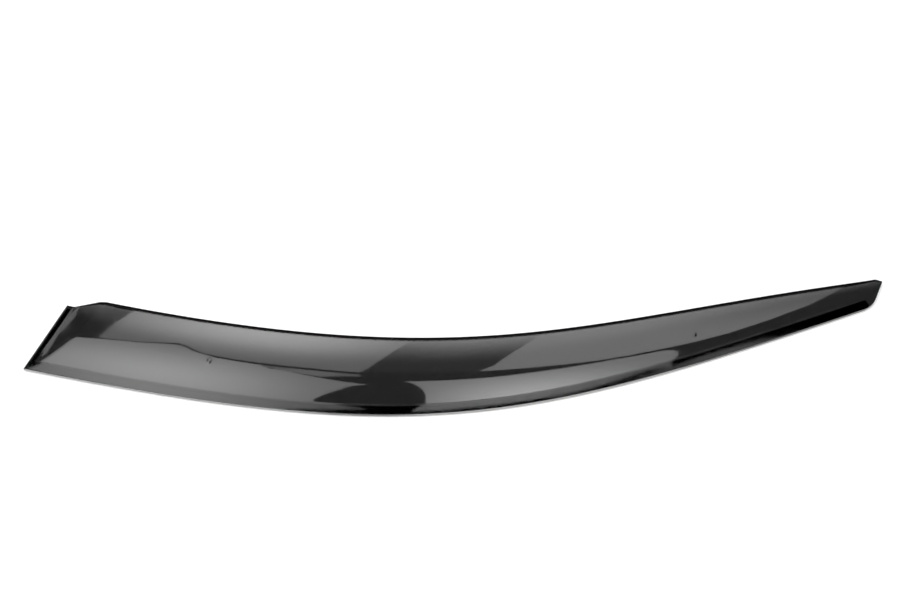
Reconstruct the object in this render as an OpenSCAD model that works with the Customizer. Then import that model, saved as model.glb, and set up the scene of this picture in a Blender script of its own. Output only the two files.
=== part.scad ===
// Stick-on rain deflector for a car's front side window, lying on its bonding face.
// Frame: X runs along the length towards the narrow front tip, Y from the mounting
// edge to the free edge, and Z away from the glass. Z = 0 is the face of the tape,
// and the origin is at the middle of the footprint.

/* [Outline] */
// Overall length, from the rear corner to the front tip
length = 900; // [700:1:1100]
// Distance across the length from the rear corner to the front corner
front_offset = 80.5; // [50:0.5:110]
// Length of the straight rear end, from the mounting edge to the free edge
rear_end = 86; // [68:1:108]
// Direction of the rear end, from the length
rear_end_angle = 70.2; // [62:0.2:80]
// Length of the slanted front end, from the front corner to the tip
front_end = 37.2; // [30:0.2:46]
// Direction of the front end, from the length
front_end_angle = 63; // [52:1:75]
// Length of each leg of the rounded front corner
corner_leg = 12; // [8:1:18]

/* [Mounting edge] */
// Direction of the mounting edge at the rear
mount_rear_angle = -13; // [-18:0.5:-8]
// Direction of the mounting edge at the front
mount_front_angle = 21.3; // [15:0.1:27]
// How long the curve keeps its rear direction, as a share of its chord
mount_rear_pull = 0.483; // [0.3:0.001:0.6]
// How long the curve keeps its front direction, as a share of its chord
mount_front_pull = 0.451; // [0.3:0.001:0.6]

/* [Free edge] */
// Direction of the free edge at the rear
free_rear_angle = -14.8; // [-20:0.1:-10]
// Direction of the free edge at the front
free_front_angle = 10.3; // [5:0.1:16]
// How long the curve keeps its rear direction, as a share of its chord
free_rear_pull = 0.525; // [0.3:0.001:0.6]
// How long the curve keeps its front direction, as a share of its chord
free_front_pull = 0.402; // [0.3:0.001:0.6]
// Height of the free edge at the rear, before the rear end comes down
free_rear_height = 25; // [18:0.5:32]
// Height that pulls the free edge up behind its middle
free_rear_lift = 29; // [20:0.5:36]
// Height that pulls the free edge up in front of its middle
free_front_lift = 19.5; // [14:0.5:26]
// Height of the free edge at the front tip
free_front_height = 8.9; // [6.5:0.1:12]

/* [Section] */
// Thickness of the moulded sheet
sheet = 3; // [2:0.1:4]
// Width of the flat flange along the mounting edge
flange = 12; // [9:0.5:16]
// Half of the width over which the flange bends into the slope
flange_bend = 0.6; // [0.4:0.1:5]
// Place of the shoulder between the flange and the free edge
shoulder_place = 0.48; // [0.35:0.01:0.55]
// Share of the rise that is below the shoulder
shoulder_rise = 0.79; // [0.6:0.01:0.85]
// Half of the width over which the shoulder is rounded, where the slopes leave room
shoulder_bend = 34; // [10:1:40]

/* [Ends] */
// Width of the flat flange along the rear end
rear_flange = 5.2; // [3.5:0.1:8]
// Slope of the rear end near the mounting edge, in degrees
rear_inner_slope = 26.5; // [20:0.5:30]
// Slope of the rear end at the free edge, in degrees
rear_outer_slope = 29.8; // [25:0.2:36]
// Half of the width over which the rear flange bends into its slope, at the mounting edge
rear_inner_bend = 5.6; // [3:0.1:8]
// Half of the width over which the rear flange bends into its slope, at the free edge
rear_outer_bend = 2.3; // [1:0.1:5]
// Height over which the end slopes are rounded into the main slopes
hip_round = 2; // [0.8:0.1:3]
// The same at the free edge of the rear end
outer_hip_round = 4; // [1:0.1:5]
// Width of the flat rim along the front end
front_rim = 1; // [0.6:0.1:2]
// Slope of the front end above its rim, in degrees
front_slope = 42; // [30:1:50]

/* [Tape] */
// Thickness of the foam tape
tape_thickness = 1; // [0.6:0.1:1.6]
// Width of the tape along the mounting edge
tape_width = 10; // [6:0.5:13]
// Width of the tape along the rear end
rear_tape_width = 4.2; // [2:0.1:6]
// Distance from the sheet's edges to the tape
tape_inset = 1; // [0.5:0.1:2]
// Gap between the two lengths of tape
tape_gap = 0.3; // [0.2:0.1:1]
// How far the tape follows the rounded front corner, as a share of the rounding
tape_turn = 0.45; // [0.1:0.05:0.6]

/* [Hidden] */

smoke = [0.12, 0.12, 0.13];
foam_black = [0.03, 0.03, 0.03];

// Steps along the rear end's slope, along the middle and along the front end
rear_steps = 22;
middle_steps = 56;
front_steps = 12;
// Steps across a bend, across a plain slope and round the free edge
bend_steps = 4;
shoulder_steps = 14;
slope_steps = 1;
nose_steps = 5;
tape_steps = 48;
turn_steps = 5;
// Length of the closely stepped rear part, as a share of the rear end's slope
rear_reach = 1.3;
// Share of the curve along which the front end swells into its rounded corner
front_share = 0.07;
// How late the rear end's slope and its rounding change towards the free edge
late_power = 3;
// Least part of a slope that stays plain between two bends
plain_share = 0.03;
// Least slope and height that a rounding works with
least = 0.001;

function polar(reach, angle) = reach * [cos(angle), sin(angle)];
function unit(v) = v / norm(v);
function mix(a, b, t) = a * (1 - t) + b * t;
function steps(a, b, n) = [for (i = [0:n - 1]) mix(a, b, i / n)];

// Cubic curve through four control points, and its direction
function curve(p, t) =
    (1 - t) ^ 3 * p[0] + 3 * (1 - t) ^ 2 * t * p[1] + 3 * (1 - t) * t ^ 2 * p[2] + t ^ 3 * p[3];
function curve_run(p, t) =
    (1 - t) ^ 2 * (p[1] - p[0]) + 2 * (1 - t) * t * (p[2] - p[1]) + t ^ 2 * (p[3] - p[2]);
// The same curve's control points, from its ends, its end directions and its pulls
function curve_between(a, b, angle_a, angle_b, pull_a, pull_b) =
    let (chord = norm(b - a))
    [a, a + polar(pull_a * chord, angle_a), b - polar(pull_b * chord, angle_b), b];

// Smaller or larger of two heights, with the corner between them rounded over k
function soft_min(a, b, k) = min(a, b) - max(k - abs(a - b), 0) ^ 2 / (4 * k);
function soft_max(a, b, k) = max(a, b) + max(k - abs(a - b), 0) ^ 2 / (4 * k);

// Corners of the outline, with the rear corner of the mounting edge at zero
front_corner = [length - front_end * cos(front_end_angle), front_offset];
front_tip = front_corner + polar(front_end, front_end_angle);
rear_tip = polar(rear_end, rear_end_angle);
corner_start = front_corner - polar(corner_leg, mount_front_angle);
corner_end = front_corner + polar(corner_leg, front_end_angle);

mount_curve = curve_between([0, 0], corner_start,
    mount_rear_angle, mount_front_angle, mount_rear_pull, mount_front_pull);
free_curve = curve_between(rear_tip, front_tip,
    free_rear_angle, free_front_angle, free_rear_pull, free_front_pull);
free_heights = [free_rear_height, free_rear_lift, free_front_lift, free_front_height];

// Height of the outer face over the flange, and the direction square to the mounting edge
face_base = tape_thickness + sheet;
function square_to(run) = unit([-run.y, run.x]);
function mount_across(u) = square_to(curve_run(mount_curve, u));
// Width of the sheet at u, square to the mounting edge
function width_at(u) = (curve(free_curve, u) - curve(mount_curve, u)) * mount_across(u);
// Distance of a place inside the rear end and inside the front end
function rear_depth(p) = p * [sin(rear_end_angle), -cos(rear_end_angle)];
function front_depth(p) = (p - front_corner) * [-sin(front_end_angle), cos(front_end_angle)];

// Rounded front corner, and its direction
function corner(t) =
    mix(mix(corner_start, front_corner, t), mix(front_corner, corner_end, t), t);
function corner_run(t) = mix(front_corner - corner_start, corner_end - front_corner, t);

// Front outline from the mounting edge to the tip: a rounded corner, then a straight end
corner_share = 2 * corner_leg / (front_end + corner_leg);
function front_outline(v) =
    v < corner_share
    ? corner(v / corner_share)
    : mix(corner_end, front_tip, (v - corner_share) / (1 - corner_share));

// Place in plan: straight across from edge to edge, swelling into the front outline
function plan_point(u, v) =
    let (swell = max(0, (u - 1 + front_share) / front_share) ^ 2)
    mix(curve(mount_curve, u), curve(free_curve, u), v)
    + swell * (front_outline(v) - mix(corner_start, front_tip, v));

// Place of the shoulder and room for its rounding in a section of this width
function shoulder_at(width) = mix(flange, width, shoulder_place);
function shoulder_half(width) =
    let (below = shoulder_at(width) - flange - flange_bend, above = width - shoulder_at(width))
    min(shoulder_bend, (1 - plain_share) * min(below, above));

// Height of a slope that starts after a flat part and a soft bend of that half-width
function ramp(depth, flat, bend, angle) =
    soft_max(tan(angle) * (depth - flat - bend), 0, bend * tan(angle));
// Rear end, whose slope and bend change from the mounting edge to the free edge
function rear_ramp(p, v) = ramp(rear_depth(p), rear_flange, mix(rear_inner_bend, rear_outer_bend, v),
    mix(rear_inner_slope, rear_outer_slope, v ^ late_power));

// Rise of the outer face above the flange: two slopes, let down to both ends
function rise(q, width, full, p) =
    let (
        shoulder = shoulder_at(width),
        lower = shoulder_rise * full / (shoulder - flange),
        upper = (1 - shoulder_rise) * full / (width - shoulder),
        slopes = soft_min(
            lower * (q - flange),
            shoulder_rise * full + upper * (q - shoulder),
            shoulder_half(width) * max(abs(lower - upper), least)),
        section = soft_max(slopes, 0, flange_bend * lower),
        v = min(1, max(0, q / width)),
        rear = rear_ramp(p, v),
        rear_hip = mix(hip_round, outer_hip_round, v ^ late_power),
        front = ramp(front_depth(p), 0, front_rim, front_slope)
    )
    max(0, soft_min(soft_min(section, rear, min(rear_hip, section + rear + least)),
        front, min(hip_round, section + front + least)));

function top_point(u, v) =
    let (
        p = plan_point(u, v),
        q = (p - curve(mount_curve, u)) * mount_across(u),
        full = curve(free_heights, u) - face_base
    )
    [p.x, p.y, face_base + rise(q, width_at(u), full, p)];

// Distances from the mounting edge at which a section has points
function section_stops(width) =
    let (
        shoulder = shoulder_at(width),
        half = shoulder_half(width)
    )
    concat(
        steps(0, flange - flange_bend, 2),
        steps(flange - flange_bend, flange + flange_bend, bend_steps),
        steps(flange + flange_bend, shoulder - half, slope_steps),
        steps(shoulder - half, shoulder + half, shoulder_steps),
        steps(shoulder + half, width, slope_steps),
        [width]);

// Stations along the sheet, closer where the ends come down
rear_share = rear_reach
    * (rear_flange + rear_outer_bend + (free_rear_lift - face_base) / tan(rear_outer_slope))
    / (3 * norm(mount_curve[1] - mount_curve[0]));
stations = concat(
    steps(0, rear_share, rear_steps),
    steps(rear_share, 1 - front_share, middle_steps),
    steps(1 - front_share, 1, front_steps),
    [1]);

face = [for (u = stations) let (width = width_at(u))
    [for (q = section_stops(width)) top_point(u, q / width)]];
last_i = len(face) - 1;
last_j = len(face[0]) - 1;

function along(i, j) = face[min(i + 1, last_i)][j] - face[max(i - 1, 0)][j];
function across(i, j) = face[i][min(j + 1, last_j)] - face[i][max(j - 1, 0)];
function normal(i, j) = unit(cross(along(i, j), across(i, j)));

// Closed section of the sheet: outer face, half-round free edge, inner face
loops = [for (i = [0:last_i])
    let (
        normals = [for (j = [0:last_j]) normal(i, j)],
        up = normals[last_j],
        out = unit(cross(up, along(i, last_j))),
        centre = face[i][last_j] - up * sheet / 2
    )
    concat(
        face[i],
        [for (k = [1:nose_steps - 1]) let (a = 180 * k / nose_steps)
            centre + sheet / 2 * (cos(a) * up + sin(a) * out)],
        [for (j = [last_j:-1:0]) face[i][j] - sheet * normals[j]])];
ring = len(loops[0]);

// Faces between the stations, then the strips that close one end
function skin() = [for (i = [0:last_i - 1], k = [0:ring - 1])
    let (a = i * ring + k, b = i * ring + (k + 1) % ring)
    each [[a, b, b + ring], [a, b + ring, a + ring]]];
function end_cap(start) = concat(
    [for (j = [0:last_j - 1])
        let (a = start + j, b = start + ring - 1 - j)
        each [[a, b, b - 1], [a, b - 1, a + 1]]],
    [for (k = [nose_steps:-1:2])
        let (a = start + last_j)
        [a, a + k, a + k - 1]]);
function turned(faces) = [for (f = faces) [f[2], f[1], f[0]]];

sheet_points = [for (loop = loops) each loop];
low = [min([for (p = sheet_points) p.x]), min([for (p = sheet_points) p.y])];
high = [max([for (p = sheet_points) p.x]), max([for (p = sheet_points) p.y])];
middle = (low + high) / 2;

// Angle between the rear end and the direction square to the mounting edge there
mount_slant = abs(mount_rear_angle + 90 - rear_end_angle);
// Place of a point of the tape, at a distance square to the mounting edge
function tape_point(u, q) = curve(mount_curve, u) + q * mount_across(u);

module at_middle() {
    translate([-middle.x, -middle.y, 0])
        children();
}

// Tinted sheet, moulded in one piece with its flanges
module visor_shell() {
    color(smoke)
        at_middle()
            polyhedron(
                points = sheet_points,
                faces = concat(skin(), end_cap(0), turned(end_cap(last_i * ring))),
                convexity = 8);
}

// Foam tape under the flange, from the rear corner round a part of the front corner
module mounting_tape() {
    first = tape_inset / (3 * norm(mount_curve[1] - mount_curve[0]));
    places = steps(first, 1, tape_steps);
    turns = concat(steps(0, tape_turn, turn_steps), [tape_turn]);
    reach = (corner(tape_turn) - corner_start) * polar(1, mount_front_angle);
    outer = [for (u = places) tape_point(u, tape_inset)];
    turned_outer = [for (t = turns) corner(t) + tape_inset * square_to(corner_run(t))];
    inner_end = tape_point(1, tape_inset + tape_width) + polar(reach, mount_front_angle);
    inner = [for (i = [tape_steps - 1:-1:0]) tape_point(places[i], tape_inset + tape_width)];
    color(foam_black)
        at_middle()
            linear_extrude(height = tape_thickness)
                polygon(concat(outer, turned_outer, [inner_end], inner));
}

// Foam tape under the rear flange, from the other length of tape to the free edge
module rear_tape() {
    clear = tape_inset + tape_width + tape_gap;
    start = (clear + (tape_inset + rear_tape_width) * sin(mount_slant)) / cos(mount_slant);
    color(foam_black)
        at_middle()
            rotate([0, 0, rear_end_angle - 90])
                translate([tape_inset, start, 0])
                    cube([rear_tape_width, rear_end - sheet / 2 - start, tape_thickness]);
}

visor_shell();
mounting_tape();
rear_tape();
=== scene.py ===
# %% [markdown]
# # A stick-on window rain deflector
#
# The real part is one sheet of smoke-tinted acrylic, softened with heat and pressed over a form.
# A flat flange runs along its mounting edge and its rear end, where black foam tape holds it to the
# car. This lesson builds it as surfaces computed with numpy. Work starts from the imported solid
# model, which is loaded first and never changed.

import bpy
import numpy as np
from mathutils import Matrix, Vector


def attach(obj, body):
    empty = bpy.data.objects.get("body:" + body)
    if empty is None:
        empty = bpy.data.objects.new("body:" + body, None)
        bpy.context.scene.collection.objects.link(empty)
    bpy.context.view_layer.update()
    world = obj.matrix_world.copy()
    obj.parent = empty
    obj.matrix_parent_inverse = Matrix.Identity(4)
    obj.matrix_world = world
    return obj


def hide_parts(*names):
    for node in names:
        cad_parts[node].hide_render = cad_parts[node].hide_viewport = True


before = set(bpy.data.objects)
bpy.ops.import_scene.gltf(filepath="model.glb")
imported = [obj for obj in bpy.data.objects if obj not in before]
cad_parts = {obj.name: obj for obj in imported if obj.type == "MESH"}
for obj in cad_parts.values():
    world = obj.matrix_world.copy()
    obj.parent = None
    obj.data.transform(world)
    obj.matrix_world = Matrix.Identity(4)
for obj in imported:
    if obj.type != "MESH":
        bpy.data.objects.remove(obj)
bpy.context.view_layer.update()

MM = 0.001

# %% [markdown]
# ## The outline
#
# Seen from above, the part is a long bow. Its mounting edge and its free edge could each be traced
# with many points, but a real edge like this is one fair curve. So each is a single cubic curve,
# fixed by its two ends, its direction at each end and how long it keeps that direction. The sizes
# below are in millimetres and degrees, from the rear corner of the mounting edge.

# %% Sizes of the outline
length = 900.0
front_offset = 80.5
rear_end, rear_end_angle = 86.0, 70.2
front_end, front_end_angle = 37.2, 63.0
corner_leg = 12.0
mount_angles, mount_pulls = (-13.0, 21.3), (0.483, 0.451)
free_angles, free_pulls = (-14.8, 10.3), (0.525, 0.402)
free_heights = np.array([25.0, 29.0, 19.5, 8.9])


def polar(reach, angle):
    """A step of that reach in a direction given in degrees: reach times (cosine, sine)."""
    return reach * np.array([np.cos(np.radians(angle)), np.sin(np.radians(angle))])


def unit(v):
    """The vectors of an array, each divided by its own length."""
    return v / np.linalg.norm(v, axis=-1, keepdims=True)


def mix(a, b, t):
    """From a at t = 0 to b at t = 1, along a straight line."""
    return a * (1 - t) + b * t


# %% Curves and corners
def curve(points, t):
    """Cubic curve: the four control points weighted by (1-t)^3, 3(1-t)^2 t, 3(1-t) t^2 and t^3."""
    t = np.asarray(t, float)
    weights = np.stack([(1 - t) ** 3, 3 * (1 - t) ** 2 * t, 3 * (1 - t) * t**2, t**3], -1)
    return weights @ np.asarray(points, float)


def curve_run(points, t):
    """Direction of the cubic curve: its three control steps weighted by (1-t)^2, 2(1-t)t and t^2."""
    t = np.asarray(t, float)
    weights = np.stack([(1 - t) ** 2, 2 * (1 - t) * t, t**2], -1)
    return weights @ np.diff(points, axis=0)


def curve_between(start, end, angles, pulls):
    """Control points: each end, and a step along its own direction of pull times the chord."""
    chord = np.linalg.norm(end - start)
    return np.array([start, start + polar(pulls[0] * chord, angles[0]),
                     end - polar(pulls[1] * chord, angles[1]), end])


front_corner = np.array([length - polar(front_end, front_end_angle)[0], front_offset])
front_tip = front_corner + polar(front_end, front_end_angle)
corner_start = front_corner - polar(corner_leg, mount_angles[1])
corner_end = front_corner + polar(corner_leg, front_end_angle)
mount_curve = curve_between(np.zeros(2), corner_start, mount_angles, mount_pulls)
free_curve = curve_between(polar(rear_end, rear_end_angle), front_tip, free_angles, free_pulls)
print("chord of the mounting edge:", round(float(np.linalg.norm(corner_start)), 1), "mm")

# %% [markdown]
# ## A grid over the sheet
#
# Every point of the sheet has two numbers: u runs along the bow from the rear end to the front,
# and v runs across it from the mounting edge to the free edge. A straight line between the two
# curves would give a sharp front end, but the real one has a rounded corner. So the last stretch
# swells outwards, by the square of how far it has come, until it meets the front outline.

# %% Plan of the sheet
front_share = 0.07
corner_share = 2 * corner_leg / (front_end + corner_leg)


def corner(t):
    """Rounded corner: (1-t)^2 of its start, 2t(1-t) of the sharp corner and t^2 of its end."""
    t = np.asarray(t, float)[..., None]
    return mix(mix(corner_start, front_corner, t), mix(front_corner, corner_end, t), t)


def front_outline(v):
    """Front end: the rounded corner, then a straight line to the tip."""
    along = np.clip((v - corner_share) / (1 - corner_share), 0, 1)[..., None]
    return np.where((v < corner_share)[..., None], corner(np.clip(v / corner_share, 0, 1)),
                    mix(corner_end, front_tip, along))


def plan_point(u, v):
    """Place in plan: straight across at u, plus the swell of the front end."""
    swell = (np.maximum(0, (u - 1 + front_share) / front_share) ** 2)[..., None]
    straight = mix(curve(mount_curve, u), curve(free_curve, u), v[..., None])
    return straight + swell * (front_outline(v) - mix(corner_start, front_tip, v[..., None]))


def square_to(run):
    """Unit direction a quarter turn to the left of each run: (-y, x) over its length."""
    return unit(np.stack([-run[..., 1], run[..., 0]], -1))


def mount_across(u):
    """Direction square to the mounting edge, towards the free edge."""
    return square_to(curve_run(mount_curve, u))


def width_at(u):
    """Width of the sheet at u, square to the mounting edge."""
    return ((curve(free_curve, u) - curve(mount_curve, u)) * mount_across(u)).sum(-1)


for u in (0.0, 0.5, 1.0):
    print("width at", u, "of the length:", round(float(width_at(u)), 1), "mm")

# %% [markdown]
# ## The section
#
# Across the sheet the height starts flat on the flange, bends up, and flattens again towards the
# free edge, so that the face is one long smooth arc. Two straight slopes joined by soft corners
# give exactly that, and each corner keeps its own radius. The rear end and the front end are
# slopes of their own, and the lowest of all the slopes wins, with a soft corner where they meet.

# %% Height of the outer face
sheet = 3.0
tape_thickness = 1.0
flange, flange_bend = 12.0, 0.15
shoulder_place, shoulder_rise, shoulder_bend, plain_share = 0.48, 0.79, 34.0, 0.03
rear_flange, rear_bends, rear_slopes = 5.2, (5.6, 2.3), (26.5, 29.8)
front_rim, front_slope = 1.0, 42.0
hip_rounds = (2.0, 4.0)
late_power = 3
least = 0.001
face_base = tape_thickness + sheet


def soft_min(a, b, k):
    """The smaller height, with the corner between the two rounded over k."""
    return np.minimum(a, b) - np.maximum(k - np.abs(a - b), 0) ** 2 / (4 * k)


def soft_max(a, b, k):
    """The larger height, with the corner between the two rounded over k."""
    return np.maximum(a, b) + np.maximum(k - np.abs(a - b), 0) ** 2 / (4 * k)


def ramp(depth, start, bend, degrees):
    """Zero up to start, then a slope of that angle, with a soft corner of half-width bend."""
    steep = np.tan(np.radians(degrees))
    return soft_max(steep * (depth - start), 0, bend * steep)


def shoulder_at(width):
    """Distance of the shoulder from the mounting edge."""
    return mix(flange, width, shoulder_place)


def shoulder_half(width):
    """Half-width of the shoulder's rounding, as far as the slopes beside it leave room."""
    room = np.minimum(shoulder_at(width) - flange - flange_bend, width - shoulder_at(width))
    return np.minimum(shoulder_bend, (1 - plain_share) * room)


def rise(q, width, full, p):
    """Height above the flange at a distance q from the mounting edge and a place p in plan."""
    shoulder = shoulder_at(width)
    lower = shoulder_rise * full / (shoulder - flange)
    upper = (1 - shoulder_rise) * full / (width - shoulder)
    slopes = soft_min(lower * (q - flange), shoulder_rise * full + upper * (q - shoulder),
                      shoulder_half(width) * np.maximum(np.abs(lower - upper), least))
    section = soft_max(slopes, 0, flange_bend * lower)
    v = np.clip(q / width, 0, 1)
    bend, late = mix(*rear_bends, v), v**late_power
    rear = ramp(p @ -polar(1, rear_end_angle + 90), rear_flange + bend, bend, mix(*rear_slopes, late))
    front = ramp((p - front_corner) @ polar(1, front_end_angle + 90), front_rim, front_rim, front_slope)
    ended = soft_min(section, rear, np.minimum(mix(*hip_rounds, late), section + rear + least))
    return np.maximum(0, soft_min(ended, front, np.minimum(hip_rounds[0], section + front + least)))


def outer_face(u, v):
    """Points of the outer face: the plan, lifted by tape, sheet and rise."""
    p = plan_point(u, v)
    q = ((p - curve(mount_curve, u)) * mount_across(u)).sum(-1)
    full = curve(free_heights, u) - face_base
    return np.dstack([p, face_base + rise(q, width_at(u), full, p)])


print("height of the free edge:", [round(float(h), 1) for h in curve(free_heights, [0.1, 0.5, 1.0])])

# %% [markdown]
# ## Where the points lie
#
# An even grid would waste points on the plain middle and blunt the bends. Here the stations along
# the bow are close together over the rear slope, at the two small pips that are moulded into the
# face, and at the ends, where the edge is rounded. The stops across follow the section's own
# zones: flange, bend, arc and rim.

# %% Stations and stops
edge_round, lip_reach = 0.4, 4.2
rear_zone, pip_zone = 75.0, 5.0
pip_places = ((0.156, 38.7, 0.55), (0.7836, 30.4, 0.3))
edge_stations, rear_stations, bow_stations, front_stations, pip_stations = 6, 190, 170, 60, 17
front_last = 0.997
stops_per_zone = (2, 5, 1, 6, 1, 2, 60, 4)
rim_room = 1.0


def cosine_steps(count):
    """From 0 to 1 with steps that start small, as on a quarter circle."""
    return 1 - np.cos(np.linspace(0, np.pi / 2, count))


rear_run = 3 * np.linalg.norm(mount_curve[1] - mount_curve[0])
front_run = 3 * np.linalg.norm(mount_curve[3] - mount_curve[2])
pieces = [cosine_steps(edge_stations) * edge_round / rear_run,
          np.linspace(edge_round, rear_zone, rear_stations) / rear_run,
          np.linspace(rear_zone / rear_run, 1 - front_share, bow_stations),
          np.linspace(1 - front_share, front_last, front_stations),
          1 - cosine_steps(edge_stations) * edge_round / front_run]
pip_offsets = np.linspace(-pip_zone, pip_zone, pip_stations) / length
pieces += [place_u + pip_offsets for place_u, place_q, pip_height in pip_places]
stations = np.unique(np.concatenate(pieces).round(7))
widths = width_at(stations)


def spread(start, end, count):
    """Stops from start up to, and not at, end, for every station at once."""
    start, end = np.broadcast_arrays(np.asarray(start, float), np.asarray(end, float))
    return start[..., None] + (end - start)[..., None] * np.arange(count) / count


def lip_at(u):
    """How far the free edge's rounding reaches back: all of it, but less and less near both ends."""
    nearness = np.minimum(1, np.minimum(u, 1 - u) / front_share)
    return (lip_reach - sheet / 2) * np.sin(nearness * np.pi / 2)


def section_stops(u, width):
    """Distances from the mounting edge at which each section has points: even steps in each zone."""
    middle, half, last = shoulder_at(width), shoulder_half(width), width - lip_at(u)
    flat, guard = np.full_like(width, flange), 1.5 * flange_bend
    edge, rim = np.full_like(width, edge_round), np.minimum(middle + half, last - rim_room)
    marks = [edge, 2 * edge, flat - guard, flat - flange_bend, flat + flange_bend, flat + guard,
             middle - half, rim, last]
    zones = [spread(a, b, count) for a, b, count in zip(marks[:-1], marks[1:], stops_per_zone)]
    return np.concatenate(zones + [last[..., None]], -1)


stops = section_stops(stations, widths)
print("stations:", len(stations), "stops across:", stops.shape[1])

# %% [markdown]
# ## The moulded pips
#
# Two low pips, about 6 mm across, stand on the face. They are part of the same sheet, so they are
# not set on top as pieces of their own: the face is simply lifted there, by a smooth dome that
# fades to nothing at its rim.

# %% Face with its pips
pip_radius = 3.2


def face_points():
    """Outer face over the whole grid, lifted by height times (1 - (distance/radius)^2)^2 at a pip."""
    u = np.broadcast_to(stations[:, None], stops.shape)
    points = outer_face(u, stops / widths[:, None])
    for place_u, place_q, pip_height in pip_places:
        at = np.array([[place_u]])
        pip = outer_face(at, place_q / width_at(at))[0, 0]
        distance = np.linalg.norm(points[..., :2] - pip[:2], axis=-1)
        points[..., 2] += pip_height * np.maximum(0, 1 - (distance / pip_radius) ** 2) ** 2
    return points


face = face_points()
along, across = np.gradient(face, axis=0), np.gradient(face, axis=1)
normals = unit(np.cross(along, across))
steepest = float(np.degrees(np.arccos(normals[..., 2].min())))
print("steepest part of the face:", round(steepest, 1), "degrees")

# %% [markdown]
# ## From a face to a closed sheet
#
# A Solidify modifier would thicken the face, but its rims come out square. The real edges are
# not: the free edge is a full half round, and the cut edges are only just broken. So each section
# is carried as a closed loop: rounded corner, outer face, half round, inner face, rounded corner.
# The loop is thinner at the very ends, which rounds those edges too.

# %% Closed sections
nose_steps, corner_steps = 16, 4
film_gap = 0.02


def end_inset():
    """How far both faces draw in near an end: r - sqrt(r^2 - (r - d)^2) at d from the end."""
    distance = np.minimum(stations * rear_run, (1 - stations) * front_run)
    short = np.maximum(edge_round - distance, 0)
    return edge_round - np.sqrt(edge_round**2 - short**2)


def closed_sections():
    """Each station's loop: a point of the face, moved inwards by depth and outwards by reach."""
    inset = end_inset()[:, None]
    thick = sheet - film_gap
    quarter = np.linspace(0, np.pi / 2, corner_steps, endpoint=False)
    corner_q = np.broadcast_to(edge_round * (1 - np.cos(quarter)), (len(stations), corner_steps))
    corner_depth = np.maximum(edge_round * (1 - np.sin(quarter)), inset)
    u = np.broadcast_to(stations[:, None], corner_q.shape)
    corner = outer_face(u, corner_q / widths[:, None])
    corner_normal = np.broadcast_to(normals[:, :1], corner.shape)
    outer = np.concatenate([corner - corner_normal * corner_depth[..., None],
                            face - normals * inset[..., None]], 1)
    inner = np.concatenate([corner - corner_normal * (thick - corner_depth)[..., None],
                            face - normals * (thick - inset)[..., None]], 1)
    turn = (np.pi * np.arange(1, nose_steps) / nose_steps)[None, :, None]
    up = normals[:, -1:]
    out = unit(np.cross(up, along[:, -1:]))
    radius = (thick / 2 - inset)[..., None]
    reach = radius * (1 + lip_at(stations) / (sheet / 2))[:, None, None]
    nose = face[:, -1:] - up * thick / 2 + radius * np.cos(turn) * up + reach * np.sin(turn) * out
    return np.concatenate([outer, nose, inner[:, ::-1]], 1)


loops = closed_sections()
ring = loops.shape[1]
print("points round one section:", ring)

# %% [markdown]
# ## Into a mesh
#
# The loops become one mesh. Neighbouring loops are joined by four-sided faces, and each end is
# closed by faces from the outer half of the loop to the inner half. The part's origin is at the
# middle of its footprint, so the points move there before they turn into metres.

# %% Mesh helpers
def grid_faces(rows, columns):
    """Quads of a grid of points whose rows close on themselves."""
    i, k = np.meshgrid(np.arange(rows - 1), np.arange(columns), indexing="ij")
    a, b = i * columns + k, i * columns + (k + 1) % columns
    return np.stack([a, b, b + columns, a + columns], -1).reshape(-1, 4)


def cap_faces(start, columns):
    """Quads across one end: each point of the loop's first half to its mirror in the second."""
    j = np.arange(columns // 2 - 1)
    return np.stack([start + j, start + columns - 1 - j, start + columns - 2 - j, start + j + 1], -1)


def closed_tube_faces(rows, columns):
    """All quads of a tube with both ends closed, the far cap turned the other way."""
    far = cap_faces((rows - 1) * columns, columns)[:, ::-1]
    return np.concatenate([grid_faces(rows, columns), cap_faces(0, columns), far])


def make_piece(name, points, faces, materials):
    """A mesh object at the origin from points in metres, with all its faces smooth."""
    mesh = bpy.data.meshes.new(name)
    mesh.from_pydata(points.reshape(-1, 3), [], faces)
    mesh.polygons.foreach_set("use_smooth", np.ones(len(faces), bool))
    for material in materials:
        mesh.materials.append(material)
    mesh.validate()
    piece = bpy.data.objects.new(name, mesh)
    bpy.context.scene.collection.objects.link(piece)
    return piece


def volume(points, faces):
    """Volume inside quads: a sixth of the sum of the triple products of their two triangles."""
    p = points.reshape(-1, 3)
    a, b, c, d = (p[faces[:, i]] for i in range(4))
    return float((a * (np.cross(b, c) + np.cross(c, d))).sum() / 6)


print("faces of a short closed tube:", len(closed_tube_faces(3, 8)))

# %% [markdown]
# ## Tinted acrylic
#
# The sheet is glossy and dark, and lets through only a few hundredths of the light. A black gloss
# paint would look alike from the front, but not at the edges, where real acrylic shows its depth.
# So the shader is a true transmitting one with the refraction of acrylic and a smoke tint. Faint
# haze in its roughness, and waves far too low to see as shape, keep its reflections from looking
# computed.

# %% Shader helpers
def new_material(name):
    """A material with its node tree, and the Principled shader that it starts with."""
    material = bpy.data.materials.new(name)
    material.use_nodes = True
    return material, material.node_tree, material.node_tree.nodes["Principled BSDF"]


def add(tree, kind, **values):
    """A node of that kind, with its inputs set by name."""
    node = tree.nodes.new(kind)
    for key, value in values.items():
        node.inputs[key.replace("_", " ")].default_value = value
    return node


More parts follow.
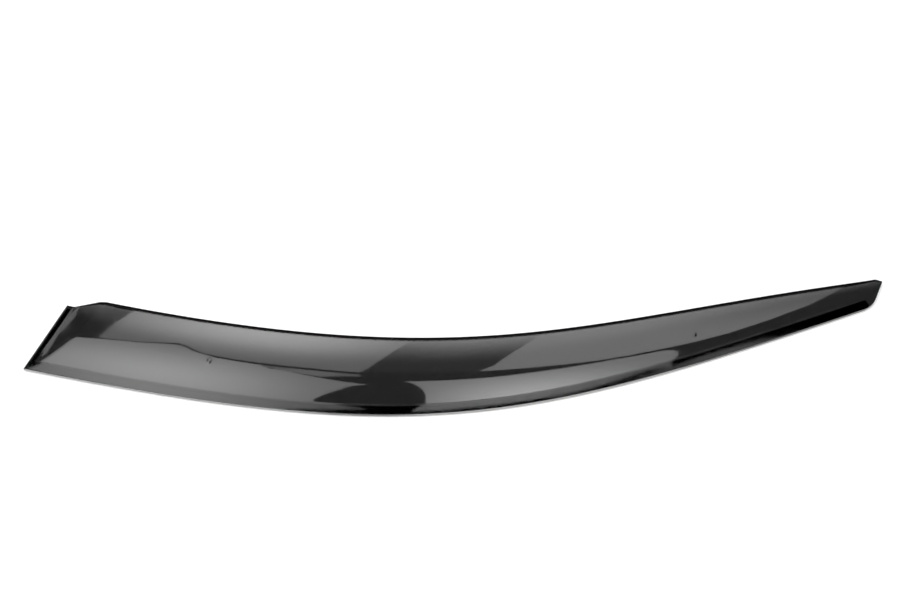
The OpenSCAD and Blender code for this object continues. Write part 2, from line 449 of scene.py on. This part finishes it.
def object_noise(tree, scale, detail=2.0, stretch=(1, 1, 1)):
    """Noise on Object coordinates: scale is in features per metre, and stretch thins it along an axis."""
    place = tree.nodes.new("ShaderNodeTexCoord")
    mapping = add(tree, "ShaderNodeMapping", Scale=stretch)
    noise = add(tree, "ShaderNodeTexNoise", Scale=scale, Detail=detail)
    tree.links.new(place.outputs["Object"], mapping.inputs["Vector"])
    tree.links.new(mapping.outputs["Vector"], noise.inputs["Vector"])
    return noise.outputs["Fac"]


def ranged(tree, value, low, high, start=0.3, end=0.7):
    """The value mapped from start..end to low..high."""
    node = add(tree, "ShaderNodeMapRange", From_Min=start, From_Max=end, To_Min=low, To_Max=high)
    tree.links.new(value, node.inputs["Value"])
    return node.outputs["Result"]


def bump(tree, value, distance, strength, after=None):
    """A bump from a height, optionally on top of another bump."""
    node = add(tree, "ShaderNodeBump", Distance=distance, Strength=strength)
    tree.links.new(value, node.inputs["Height"])
    if after is not None:
        tree.links.new(after, node.inputs["Normal"])
    return node.outputs["Normal"]


def mixed_colour(tree, value, low, high):
    """A colour between low and high by the value."""
    node = tree.nodes.new("ShaderNodeMix")
    node.data_type = "RGBA"
    node.inputs[6].default_value, node.inputs[7].default_value = (*low, 1), (*high, 1)
    tree.links.new(value, node.inputs[0])
    return node.outputs[2]


# %% Acrylic and its edges
def tinted_acrylic():
    """Smoke-tinted acrylic: clear gloss, a dark tint, faint haze and very low waves."""
    material, tree, shader = new_material("tinted_acrylic")
    shader.inputs["Transmission Weight"].default_value = 1.0
    shader.inputs["IOR"].default_value = 1.49
    cloud = object_noise(tree, 14)
    tree.links.new(mixed_colour(tree, cloud, (0.066, 0.066, 0.066), (0.074, 0.074, 0.074)),
                   shader.inputs["Base Color"])
    tree.links.new(ranged(tree, object_noise(tree, 60), 0.02, 0.045), shader.inputs["Roughness"])
    waves = bump(tree, object_noise(tree, 9, 1.0), 0.0006, 0.12)
    tree.links.new(waves, shader.inputs["Normal"])
    return material


def grey_along_length(tree, stops):
    """Greys that change along the part: each stop is a place in X, in metres, and its grey."""
    half = length * MM / 2
    place = tree.nodes.new("ShaderNodeTexCoord")
    split = tree.nodes.new("ShaderNodeSeparateXYZ")
    tree.links.new(place.outputs["Object"], split.inputs["Vector"])
    ramp_node = tree.nodes.new("ShaderNodeValToRGB")
    tree.links.new(ranged(tree, split.outputs["X"], 0, 1, -half, half), ramp_node.inputs["Fac"])
    for k, (x, grey) in enumerate(stops):
        at = (x + half) / (2 * half)
        element = ramp_node.color_ramp.elements.new(at) if k > 1 else ramp_node.color_ramp.elements[k]
        element.position, element.color = at, (grey, grey, grey, 1)
    return ramp_node.outputs["Color"]


def cut_edge():
    """The sawn edge: frosted, with real fine marks across it, and a pale grey that is painted light for
    the glow the cut edge shows, paler on some stretches than on others.
    """
    material, tree, shader = new_material("cut_edge")
    marks = object_noise(tree, 500, 4.0, (1, 1, 4))
    # The greys along the length are painted light: they stand for the glow seen in the cut edge, paler on
    # some stretches than on others.
    painted_edge_glow = grey_along_length(tree, ((-0.45, 0.62), (-0.17, 0.58), (-0.135, 0.3), (-0.07, 0.3),
                                    (-0.04, 0.6), (0.2, 0.6), (0.25, 0.22)))
    multiply = tree.nodes.new("ShaderNodeMix")
    multiply.data_type, multiply.blend_type = "RGBA", "MULTIPLY"
    multiply.inputs[0].default_value = 1.0
    tree.links.new(painted_edge_glow, multiply.inputs[6])
    tree.links.new(mixed_colour(tree, marks, (0.85, 0.85, 0.85), (1.0, 1.0, 1.0)), multiply.inputs[7])
    tree.links.new(multiply.outputs[2], shader.inputs["Base Color"])
    tree.links.new(ranged(tree, marks, 0.35, 0.6), shader.inputs["Roughness"])
    tree.links.new(bump(tree, marks, 0.0001, 0.4), shader.inputs["Normal"])
    return material


def rounded_edge_painted_dark():
    """The half-round free edge: painted near-black with weak gloss, a painted shade for the dark look of
    the thick tinted edge.
    """
    material, tree, shader = new_material("rounded_edge_painted_dark")
    rubbed = object_noise(tree, 220, 3.0, (0.1, 1, 1))
    # The near-black colour and low specular are painted shade: the real edge is clear tinted acrylic that
    # only looks black.
    tree.links.new(mixed_colour(tree, rubbed, (0.003, 0.003, 0.003), (0.006, 0.006, 0.006)),
                   shader.inputs["Base Color"])
    shader.inputs["Specular IOR Level"].default_value = 0.03
    tree.links.new(ranged(tree, rubbed, 0.2, 0.3), shader.inputs["Roughness"])
    return material


sheet_finishes = [tinted_acrylic(), cut_edge(), rounded_edge_painted_dark()]
print("finishes of the sheet:", [m.name for m in sheet_finishes])

# %% [markdown]
# ## The sheet itself
#
# One mesh takes all three finishes, and each face is given its own by where it lies in its
# section: the wall of the mounting edge is frosted and pale with painted light, the half round is painted
# dark as shade, and the rest is clear.

# %% Build the sheet
low, high = loops.reshape(-1, 3).min(0), loops.reshape(-1, 3).max(0)
middle = np.array([(low[0] + high[0]) / 2, (low[1] + high[1]) / 2, 0])


def in_metres(points):
    """From the rear corner's millimetres to the part's own frame in metres."""
    return (points - middle) * MM


def sheet_finish_of_faces(rows, columns):
    """Finish number of each quad: 1 on the wall of the mounting edge, 2 on the nose, 0 elsewhere."""
    k = np.tile(np.arange(columns), rows - 1)
    nose_start = (columns - nose_steps + 1) // 2 - 1
    finish = np.where((k == columns - 1) | (k == 0), 1, 0)
    finish = np.where((k >= nose_start) & (k < nose_start + nose_steps), 2, finish)
    return np.concatenate([finish, np.ones(2 * (columns // 2 - 1), int)])


sheet_points = in_metres(loops)
sheet_faces = closed_tube_faces(len(stations), ring)
if volume(sheet_points, sheet_faces) < 0:
    sheet_faces = sheet_faces[:, ::-1]
tinted_sheet = make_piece("tinted_sheet", sheet_points, sheet_faces, sheet_finishes)
tinted_sheet.data.polygons.foreach_set(
    "material_index", sheet_finish_of_faces(len(stations), ring).astype(np.int32))
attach(tinted_sheet, "root")
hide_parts("visor_shell")
print("sheet:", len(sheet_faces) * 2, "triangles,",
      round(abs(volume(sheet_points, sheet_faces)) * 1e6, 1), "cm3")

# %% [markdown]
# ## Foam tape
#
# The tape is a strip of black foam between two films of glue. Its sides are cut, so the foam
# between the films draws in a little and its cells show as fine pits. A section with hollow sides
# is carried along the edge of the flange, one strip along the bow and a short one at the rear end.

# %% Tape sizes and section
tape_width, rear_tape_width = 10.0, 4.2
tape_inset, tape_gap = 1.0, 0.3
tape_turn = 0.45
side_hollow = 0.08
side_steps = 8
tape_rows, turn_rows, rear_rows = 240, 17, 40


def strip_points(edge_a, edge_b, height):
    """A strip between two lines of points in plan: its section's sides draw in by hollow*4t(1-t)."""
    t = np.linspace(0, 1, side_steps)
    inwards = side_hollow * 4 * t * (1 - t)
    across_strip = unit(edge_b - edge_a)[:, None, :]
    side_a = edge_a[:, None, :] + across_strip * inwards[None, :, None]
    side_b = edge_b[:, None, :] - across_strip * inwards[None, :, None]
    z = np.broadcast_to(t * height, side_a.shape[:2])
    a, b = np.dstack([side_a, z]), np.dstack([side_b, z])
    return np.concatenate([a, b[:, ::-1]], 1)


def foam():
    """Black closed-cell foam: dull, with cells of about a third of a millimetre."""
    material, tree, shader = new_material("foam_tape")
    cells = object_noise(tree, 3000, 3.0)
    tree.links.new(mixed_colour(tree, cells, (0.006, 0.006, 0.006), (0.022, 0.022, 0.022)),
                   shader.inputs["Base Color"])
    tree.links.new(ranged(tree, cells, 0.8, 0.95), shader.inputs["Roughness"])
    tree.links.new(bump(tree, cells, 0.0002, 0.7), shader.inputs["Normal"])
    return material


def foam_strip(name, edge_a, edge_b, node):
    """A strip of tape that stands for a solid of the frame."""
    points = in_metres(strip_points(edge_a, edge_b, tape_thickness))
    faces = closed_tube_faces(len(edge_a), 2 * side_steps)
    if volume(points, faces) < 0:
        faces = faces[:, ::-1]
    strip = make_piece(name, points, faces, [foam_finish])
    strip.data.set_sharp_from_angle(angle=np.radians(40))
    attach(strip, "root")
    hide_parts(node)
    print(name, len(faces) * 2, "triangles")
    return strip


foam_finish = foam()
print("finish of the tape:", foam_finish.name)

# %% Both strips
tape_u = np.linspace(tape_inset / rear_run, 1, tape_rows)
tape_line, tape_across = curve(mount_curve, tape_u), mount_across(tape_u)
turn_t = np.linspace(0, tape_turn, turn_rows)[1:]
turn_run = mix(front_corner - corner_start, corner_end - front_corner, turn_t[:, None])
turn_line = corner(turn_t) + tape_inset * square_to(turn_run)
turn_reach = (corner(turn_t) - corner_start) @ polar(1, mount_angles[1])
inner_line = curve(mount_curve, tape_u) + (tape_inset + tape_width) * tape_across
inner_turn = inner_line[-1] + turn_reach[:, None] * polar(1, mount_angles[1])
foam_strip("mounting_foam",
           np.concatenate([tape_line + tape_inset * tape_across, turn_line]),
           np.concatenate([inner_line, inner_turn]), "mounting_tape")

slant = np.radians(abs(mount_angles[0] + 90 - rear_end_angle))
clear = tape_inset + tape_width + tape_gap
rear_start = (clear + (tape_inset + rear_tape_width) * np.sin(slant)) / np.cos(slant)
rear_reach = np.linspace(rear_start, rear_end - sheet / 2, rear_rows)[:, None]
rear_line, rear_in = rear_reach * polar(1, rear_end_angle), polar(1, rear_end_angle - 90)
foam_strip("rear_foam", rear_line + tape_inset * rear_in,
           rear_line + (tape_inset + rear_tape_width) * rear_in, "rear_tape")

# %% [markdown]
# ## Floor and backdrop
#
# The part lies on a plain white surface. If the lamps were turned up until the floor went white,
# the part would be too bright as well. So the floor is lit plainly, and adds a white of its own
# only for what the camera, a reflection or a look through the tint sees. That white is weaker
# near the part, so that its shadow stays.

# %% Seen by the camera, in gloss and through the tint
def seen(tree):
    """1 for camera, glossy and transmission rays, 0 for the light that falls on things."""
    path = tree.nodes.new("ShaderNodeLightPath")
    total = path.outputs["Is Camera Ray"]
    for name in ("Is Glossy Ray", "Is Transmission Ray"):
        larger = tree.nodes.new("ShaderNodeMath")
        larger.operation = "MAXIMUM"
        tree.links.new(total, larger.inputs[0])
        tree.links.new(path.outputs[name], larger.inputs[1])
        total = larger.outputs[0]
    return total


def product(tree, a, b):
    """The two values multiplied."""
    node = tree.nodes.new("ShaderNodeMath")
    node.operation = "MULTIPLY"
    tree.links.new(a, node.inputs[0])
    tree.links.new(b, node.inputs[1])
    return node.outputs[0]


def distance_from(tree, point):
    """Distance of the shaded place from a point, both in the object's own coordinates."""
    place = tree.nodes.new("ShaderNodeTexCoord")
    node = tree.nodes.new("ShaderNodeVectorMath")
    node.operation = "DISTANCE"
    node.inputs[1].default_value = point
    tree.links.new(place.outputs["Object"], node.inputs[0])
    return node.outputs["Value"]


# %% Floor
def floor_finish(near=0.2, far=1.0, reach=(0.45, 2.2)):
    """White and dull, with an added white that grows from near to far over the reach."""
    material, tree, shader = new_material("white_floor")
    shader.inputs["Base Color"].default_value = (0.85, 0.85, 0.85, 1)
    shader.inputs["Roughness"].default_value = 0.9
    shader.inputs["Specular IOR Level"].default_value = 0.0
    shader.inputs["Emission Color"].default_value = (1, 1, 1, 1)
    white = ranged(tree, distance_from(tree, (0, 0, 0)), near, far, *reach)
    tree.links.new(product(tree, seen(tree), white), shader.inputs["Emission Strength"])
    return material


floor_half, floor_drop = 15.0, 0.00005
corners = np.array([[-1, -1, 0], [1, -1, 0], [1, 1, 0], [-1, 1, 0]]) * floor_half
corners[:, 2] = -floor_drop
floor = make_piece("floor", corners, np.array([[0, 1, 2, 3]]), [floor_finish()])
print("floor:", 2 * floor_half, "m square")

# %% [markdown]
# ## Light
#
# What is seen on black gloss is mostly what hangs above it. A plain area lamp would show as a
# plain rectangle, but soft panels with shaped outlines and uneven light show as a studio does. Four
# large ones hang in two rows over the part, with narrow gaps between them. A dim one fills the
# gap at the middle of the back row, a narrow one follows the crease at the left, three farther
# back light the flat flange, and a long strip far to the left lights the rear end's slope. An
# outline is found by following the rim of a reflection back from the gloss to the plane of the
# panels. Each panel is brightest at its lamp and dimmer towards its rim. They light the part at a
# plain level, and the camera doesn't see them.

# %% Soft panels
panel_height = 1.5


def panel_glow(name, hot_spot, hot, rim, reach):
    """Light that falls smoothly from hot at the lamp to rim at the reach, in metres."""
    material = bpy.data.materials.new(name)
    material.use_nodes = True
    tree = material.node_tree
    tree.nodes.remove(tree.nodes["Principled BSDF"])
    glow = tree.nodes.new("ShaderNodeEmission")
    fall = add(tree, "ShaderNodeMapRange", From_Min=0.0, From_Max=reach, To_Min=hot, To_Max=rim)
    fall.interpolation_type = "SMOOTHSTEP"
    tree.links.new(distance_from(tree, (*hot_spot, panel_height)), fall.inputs["Value"])
    tree.links.new(fall.outputs["Result"], glow.inputs["Strength"])
    tree.links.new(glow.outputs["Emission"], tree.nodes["Material Output"].inputs["Surface"])
    return material


def soft_panel(name, outline, hot_spot, hot, rim, reach):
    """A flat panel of that outline, in metres, with the light of one lamp behind it."""
    points = np.array([(x, y, panel_height) for x, y in outline])
    panel = make_piece(name, points, [tuple(range(len(points)))],
                       [panel_glow(name + "_glow", hot_spot, hot, rim, reach)])
    panel.visible_camera = False
    return panel


def rounded(start, sharp, end, steps=6):
    """A round stretch of an outline: (1-t)^2 of its start, 2t(1-t) of the sharp corner, t^2 of its end."""
    t = np.linspace(0, 1, steps + 1)[:, None]
    start, sharp, end = np.array(start), np.array(sharp), np.array(end)
    return [tuple(point) for point in mix(mix(start, sharp, t), mix(sharp, end, t), t)]


# %% Panels over the face
gap_left = [(-0.197, -0.033), (-0.148, 0.148), (-0.089, 0.418), (-0.01, 0.80)]
gap_right = [(0.36, 0.80), (0.293, 0.336), (0.259, 0.168), (0.232, 0.009), (0.208, -0.038),
             (0.184, -0.086)]
soft_panel("middle_left_panel",
           [(-1.008, 0.088), (-0.975, 0.087), (-0.887, 0.097), (-0.768, 0.153), (-0.749, 0.123),
            *rounded((-0.717, 0.014), (-0.633, -0.052), (-0.519, -0.068)), (-0.23, -0.118),
            *gap_left, (-0.20, 0.86), (-0.80, 0.86), (-0.846, 0.707), (-0.881, 0.539),
            (-0.965, 0.228)],
           (-0.50, 0.52), 6.4, 2.0, 0.6)
soft_panel("front_left_panel",
           [(-1.80, -0.75), (-0.425, -0.75), (-0.445, -0.62), (-0.389, -0.516),
            *rounded((-0.29, -0.374), (-0.246, -0.322), (-0.205, -0.318)),
            *rounded((-0.205, -0.318), (-0.322, -0.302), (-0.498, -0.156)),
            (-0.529, -0.153), (-0.554, -0.098),
            *rounded((-0.643, -0.065), (-0.738, -0.021), (-0.754, 0.09)),
            (-0.772, 0.122), (-0.827, 0.109), (-0.889, 0.084), (-0.977, 0.075), (-1.067, 0.052),
            (-1.20, 0.15), (-1.50, 0.44), (-1.80, 0.44)],
           (-0.93, -0.41), 6.8, 2.7, 0.65)
soft_panel("crease_left_panel",
           [(-0.568, -0.086), (-0.524, -0.107), (-0.429, -0.119), (-0.232, -0.154),
            (-0.234, -0.192), (-0.303, -0.20), (-0.374, -0.23), (-0.468, -0.179),
            (-0.527, -0.137)],
           (-0.40, -0.15), 2.1, 1.4, 0.18)
soft_panel("middle_right_panel",
           [*gap_right, (0.60, -0.06), (0.87, 0.0), (0.98, 0.04), (1.07, 0.13), (1.12, 0.26),
            (1.10, 0.80)],
           (1.32, 0.70), 0.9, 3.0, 0.8)
soft_panel("front_right_panel",
           [(0.0, -0.70), *rounded((0.001, -0.50), (-0.008, -0.308), (-0.08, -0.25)),
            (0.10, -0.225), (0.25, -0.195), (0.45, -0.14), (0.65, -0.08),
            *rounded((0.80, -0.055), (0.86, -0.064), (0.90, -0.20)), (0.915, -0.30),
            (0.95, -0.70)],
           (0.44, -0.60), 8.6, 3.1, 0.6)
print("border of the gap:", len(gap_left) + len(gap_right), "points")

# %% Panels for the flange, the rear end and the gap
soft_panel("back_left_panel",
           [(-1.25, 0.87), (-0.50, 0.885), (-0.375, 0.896), (-0.211, 0.897), (-0.291, 0.911),
            (-0.31, 0.95), (-0.34, 1.10), (-0.80, 1.155), (-1.057, 1.01), (-1.25, 0.90)],
           (-0.75, 0.97), 4.3, 1.4, 0.6)
soft_panel("back_right_panel",
           [(-0.109, 0.888), (-0.039, 0.8905),
            *rounded((0.033, 0.90), (0.2545, 0.92), (0.476, 1.009)), (0.53, 1.017), (0.56, 1.20),
            (-0.06, 1.20), (-0.068, 0.915)],
           (0.12, 0.92), 3.0, 1.5, 0.5)
soft_panel("back_end_panel",
           [(0.40, 0.90), (0.42, 0.974), (0.501, 1.005), (0.604, 1.05), (0.708, 1.085),
            (0.813, 1.114), (0.90, 1.125), (1.0, 1.05), (0.90, 0.90)],
           (0.80, 1.05), 1.5, 0.8, 0.4)
soft_panel("side_left_panel",
           [(-1.276, 1.232), (-2.6, 2.25), (-6.0, 5.35), (-9.0, 8.35), (-10.0, 9.5),
            (-11.3, 10.65), (-14.3, 13.7), (-18.0, 17.3), (-27.0, 26.3), (-40.0, 39.0),
            (-40.0, 39.8), (-9.6, 9.5), (-1.908, 1.867), (-1.713, 1.672), (-1.589, 1.54),
            (-1.305, 1.281)],
           (-1.8, 1.5), 1.85, 0.9, 4.5)
soft_panel("middle_gap_panel", [(-0.225, -0.10), *gap_left, *gap_right],
           (0.12, 1.10), 5.2, 0.15, 1.05)
print("soft panels hang at", panel_height, "m")

# %% [markdown]
# ## The room
#
# Around the set the room is white low down, as a backdrop is, and dark above the panels. The
# camera sees white everywhere, and things are lit by a little grey from all sides.

# %% World
def backdrop_world(ambient=0.25, band=(0.0, 0.02)):
    """White for the camera, white up to the band's height for gloss and tint, and a grey light."""
    world = bpy.data.worlds.new("room")
    bpy.context.scene.world = world
    world.use_nodes = True
    tree = world.node_tree
    path = tree.nodes.new("ShaderNodeLightPath")
    place = tree.nodes.new("ShaderNodeTexCoord")
    split = tree.nodes.new("ShaderNodeSeparateXYZ")
    tree.links.new(place.outputs["Generated"], split.inputs["Vector"])
    low_white = ranged(tree, split.outputs["Z"], 1.0, 0.0, *band)
    gloss_level = product(tree, seen(tree), low_white)
    lit = tree.nodes.new("ShaderNodeMath")
    lit.operation = "MULTIPLY"
    lit.inputs[1].default_value = ambient
    tree.links.new(path.outputs["Is Diffuse Ray"], lit.inputs[0])
    largest = gloss_level
    for other in (path.outputs["Is Camera Ray"], lit.outputs[0]):
        larger = tree.nodes.new("ShaderNodeMath")
        larger.operation = "MAXIMUM"
        tree.links.new(largest, larger.inputs[0])
        tree.links.new(other, larger.inputs[1])
        largest = larger.outputs[0]
    tree.links.new(largest, tree.nodes["Background"].inputs["Strength"])
    tree.nodes["Background"].inputs["Color"].default_value = (1, 1, 1, 1)


backdrop_world()
print("world:", bpy.context.scene.world.name)

# %% [markdown]
# ## Camera
#
# The camera looks down at 52 degrees from the side of the mounting edge. It was found from the
# curves of the edges, which fix its angle, its distance and its lens together.

# %% Camera
camera_target = Vector((-0.0148, 0.06203, 0.0))
camera_distance, camera_elevation = 1.3533, 52.0
camera = bpy.data.objects.new("camera", bpy.data.cameras.new("camera"))
bpy.context.scene.collection.objects.link(camera)
back, up = (float(v) for v in polar(camera_distance, camera_elevation))
camera.location = camera_target + Vector((0, -back, up))
camera.rotation_euler = (camera_target - camera.location).to_track_quat("-Z", "Y").to_euler()
camera.data.sensor_width = 36.0
camera.data.lens = 50.743
bpy.context.scene.camera = camera
bpy.context.scene.view_settings.view_transform = "Standard"
print("camera at", [round(v, 3) for v in camera.location])
